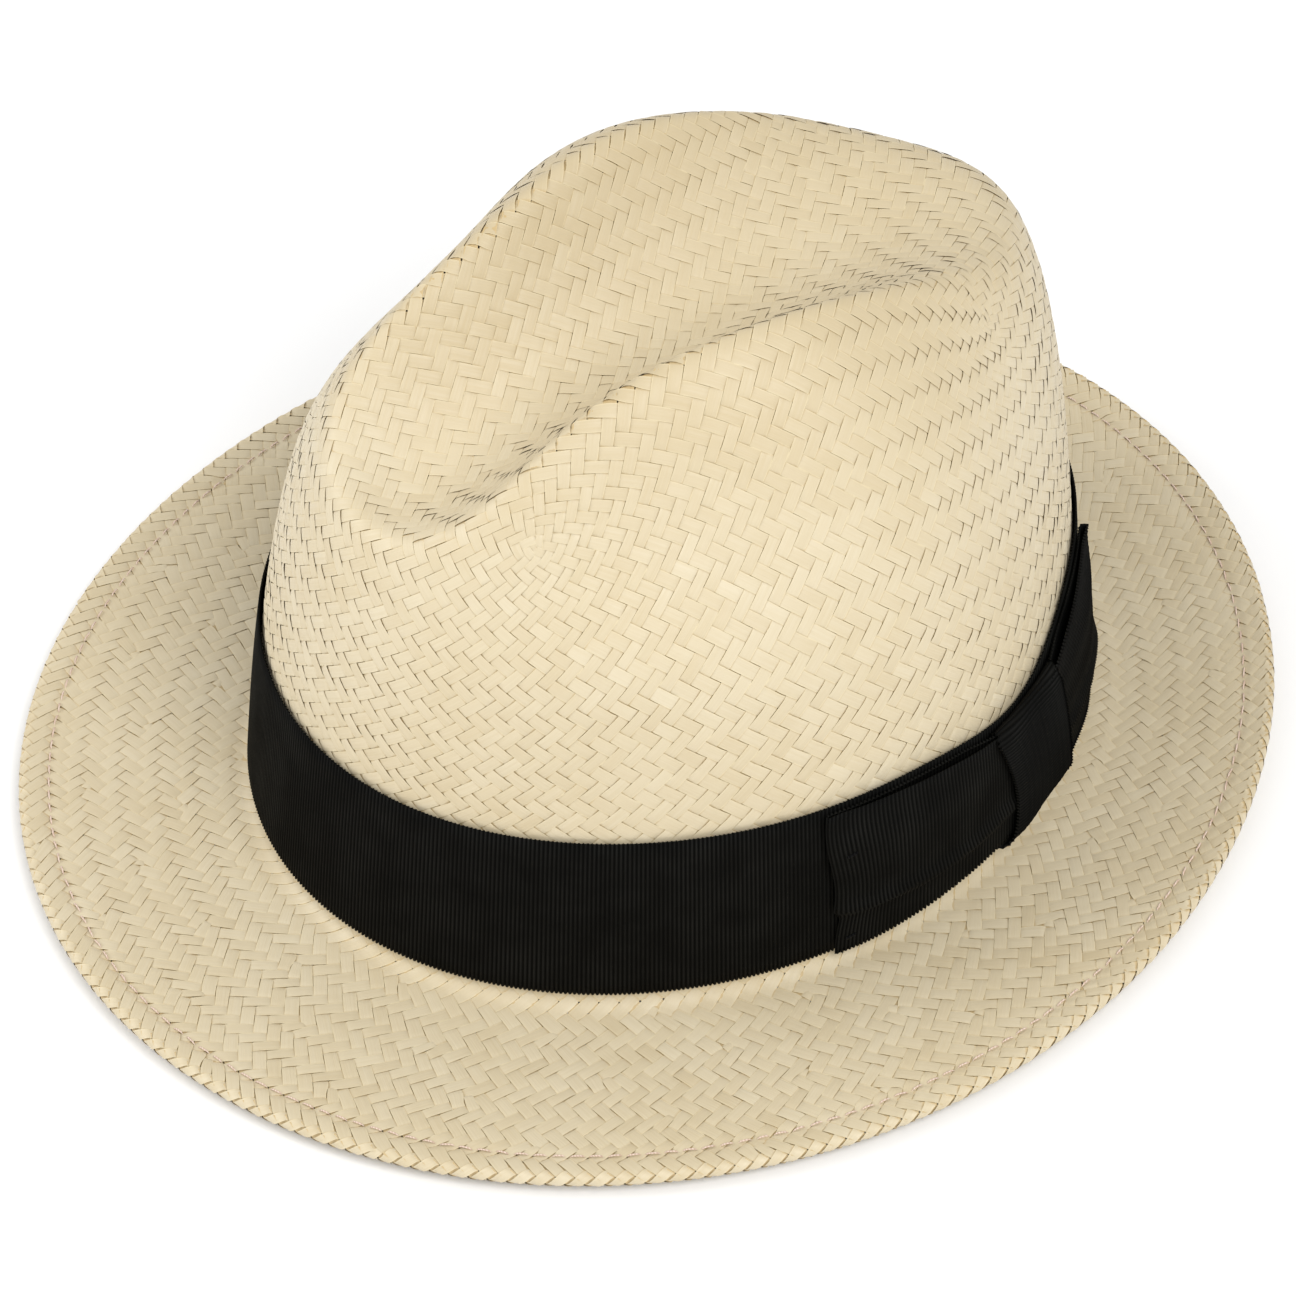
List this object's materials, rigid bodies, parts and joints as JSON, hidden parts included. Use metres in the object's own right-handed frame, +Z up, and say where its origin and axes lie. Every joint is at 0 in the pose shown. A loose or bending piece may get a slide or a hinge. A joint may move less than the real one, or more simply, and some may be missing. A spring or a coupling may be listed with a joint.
{
  "type": "panama hat",
  "caption": "Woven straw panama hat, crown with a long centre dent and front pinch, brim lifted at the back, black ribbon band with a flat side bow, sweatband inside.",
  "frame": {"origin": "middle of the brim's outline in plan, on the plane that the hat stands on", "axes": "+Z up through the crown, -Y to the front of the hat, +X to the wearer's left, where the bow is"},
  "size_m": [0.2726, 0.3044, 0.1436],
  "materials": {
    "straw": "woven palm straw, satin, pale cream",
    "cord": "plain cotton cord, matte",
    "thread": "sewing thread, pinkish beige, matte",
    "ribbon": "black ribbed grosgrain ribbon, matte",
    "black_thread": "black sewing thread, matte",
    "sweatband_leather": "smooth tan leather, low sheen"
  },
  "bodies": {
    "root": {"straw_body": "straw", "brim_edge_cord": "cord", "hem_upper_thread": "thread", "hem_lower_thread": "thread", "hat_band": "ribbon", "bow_front_loop": "ribbon", "bow_rear_loop": "ribbon", "bow_knot": "ribbon", "bow_tack_upper": "black_thread", "bow_tack_lower": "black_thread", "sweatband": "sweatband_leather", "sweatband_thread": "thread"}
  },
  "joints": []
}
